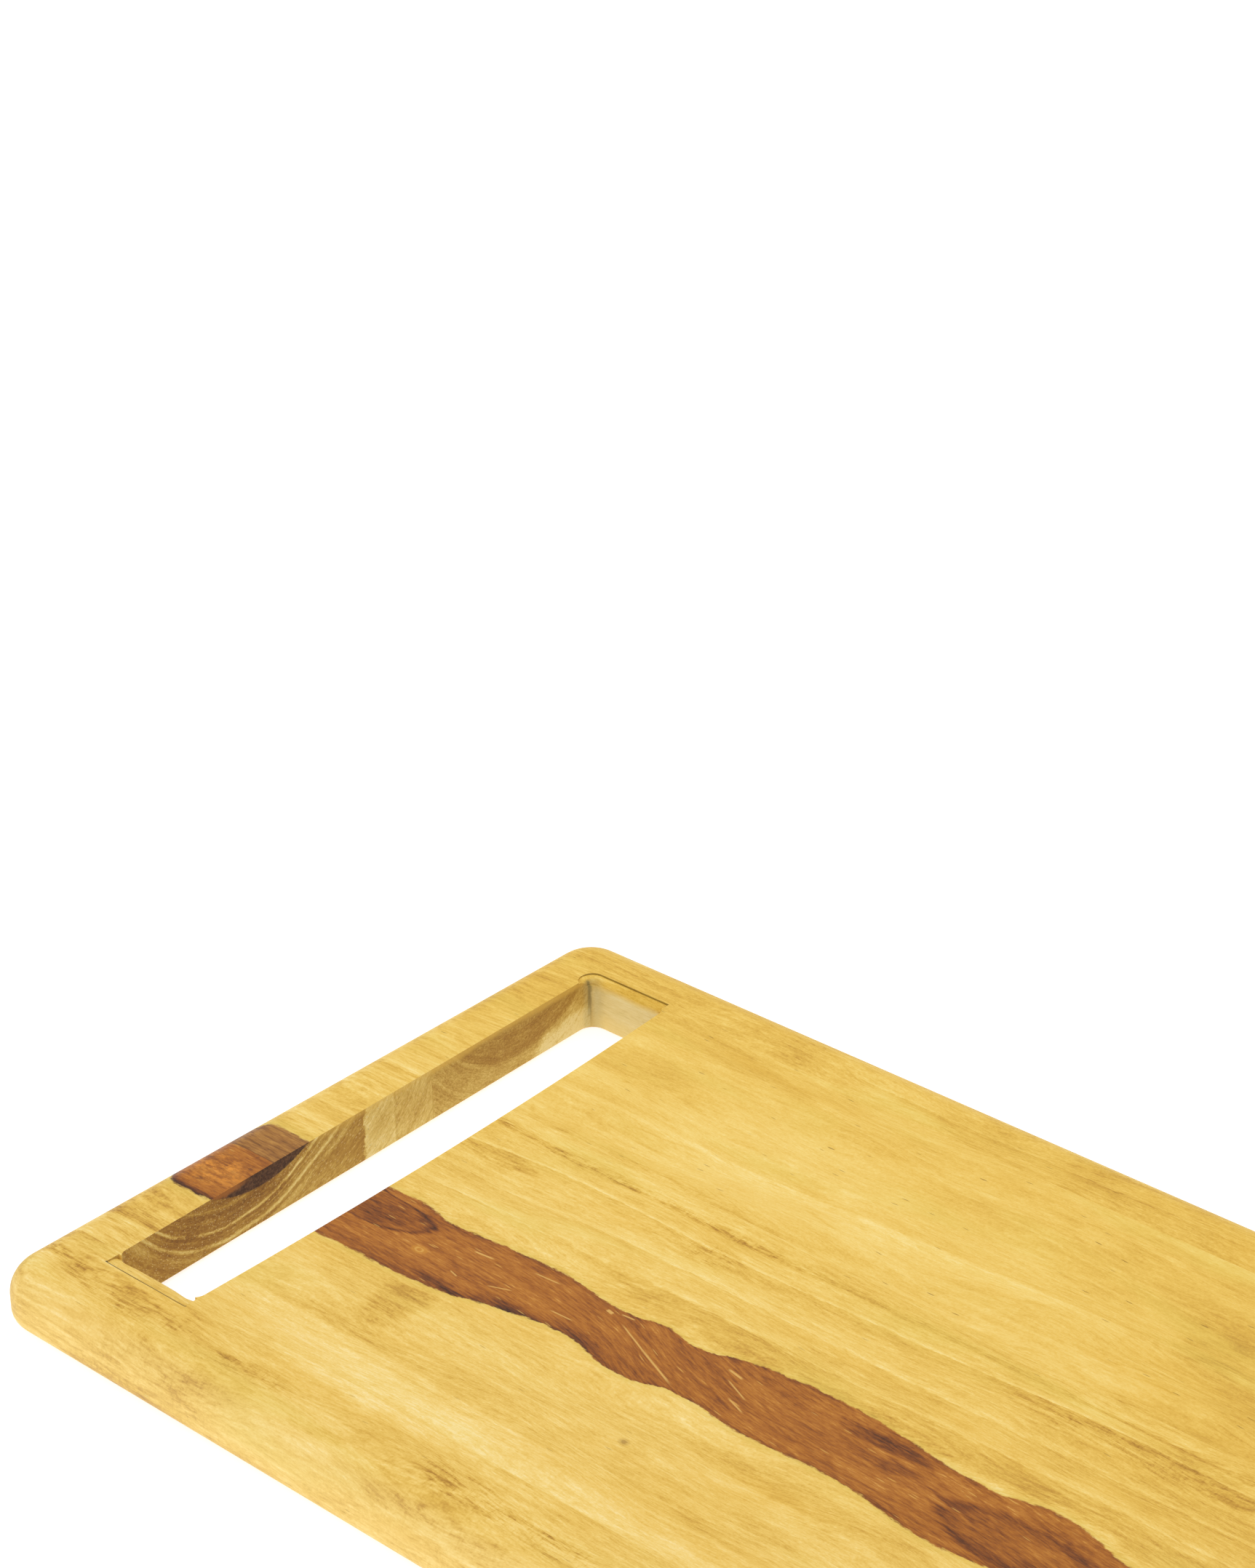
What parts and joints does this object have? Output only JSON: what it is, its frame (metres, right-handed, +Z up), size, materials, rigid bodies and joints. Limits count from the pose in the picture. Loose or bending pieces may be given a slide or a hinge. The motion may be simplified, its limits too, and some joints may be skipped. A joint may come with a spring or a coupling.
{
  "type": "serving tray",
  "caption": "Flat rectangular serving tray of edge-glued wooden staves, rounded all round, with a long finger slot cut through near each end.",
  "frame": {"origin": "middle of the flat underside", "axes": "+X along the tray's length and the grain, +Y across its width from the front edge to the back edge, +Z up through its thickness"},
  "size_m": [0.406, 0.254, 0.019],
  "materials": {
    "rail_wood": "golden sapwood, oiled, satin",
    "heartwood_stave_wood": "golden sapwood with a red-brown heartwood streak, oiled, satin",
    "pale_stave_wood": "pale golden sapwood, oiled, satin"
  },
  "bodies": {
    "root": {"front_rail": "rail_wood", "back_rail": "rail_wood", "front_plank": "heartwood_stave_wood", "back_plank": "pale_stave_wood", "left_bar_front_block": "heartwood_stave_wood", "left_bar_back_block": "pale_stave_wood", "right_bar_front_block": "heartwood_stave_wood", "right_bar_back_block": "pale_stave_wood"}
  },
  "joints": []
}
